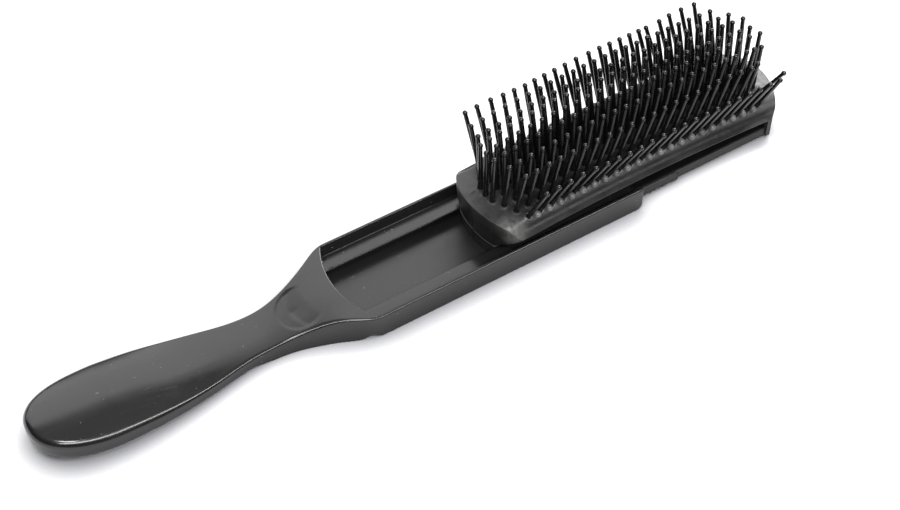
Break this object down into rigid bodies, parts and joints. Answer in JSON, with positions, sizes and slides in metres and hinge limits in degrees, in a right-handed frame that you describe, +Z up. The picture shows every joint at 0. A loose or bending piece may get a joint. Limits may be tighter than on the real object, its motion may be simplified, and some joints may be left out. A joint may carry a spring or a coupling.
{
  "type": "slide-out cushion hairbrush",
  "caption": "Half-round styling hairbrush: rubber cushion with rows of ball-tipped pins, sliding on rails in the channel head of a one-piece handle.",
  "frame": {"origin": "centre of the head's flat underside, on the surface that the brush lies on", "axes": "+X along the brush from the grip towards the tip of the head, +Y to the left, +Z up through the pins"},
  "size_m": [0.2943, 0.0536, 0.0458],
  "materials": {
    "handle_plastic": "moulded, satin",
    "pad_rubber": "matt moulded rubber",
    "pin_nylon": "smooth, slightly glossy"
  },
  "bodies": {
    "handle": {"handle": "handle_plastic"},
    "cushion": {"cushion_pad": "pad_rubber", "pin_strip_1": "pin_nylon", "pin_strip_2": "pin_nylon", "pin_strip_3": "pin_nylon", "pin_strip_4": "pin_nylon", "pin_strip_5": "pin_nylon", "pin_strip_6": "pin_nylon", "pin_strip_7": "pin_nylon", "pin_strip_8": "pin_nylon", "pin_strip_9": "pin_nylon"}
  },
  "joints": [
    {"name": "cushion_slide", "type": "slide", "parent": "handle", "child": "cushion", "axis": [1, 0, 0], "range_m": [-0.055, 0.045]}
  ]
}
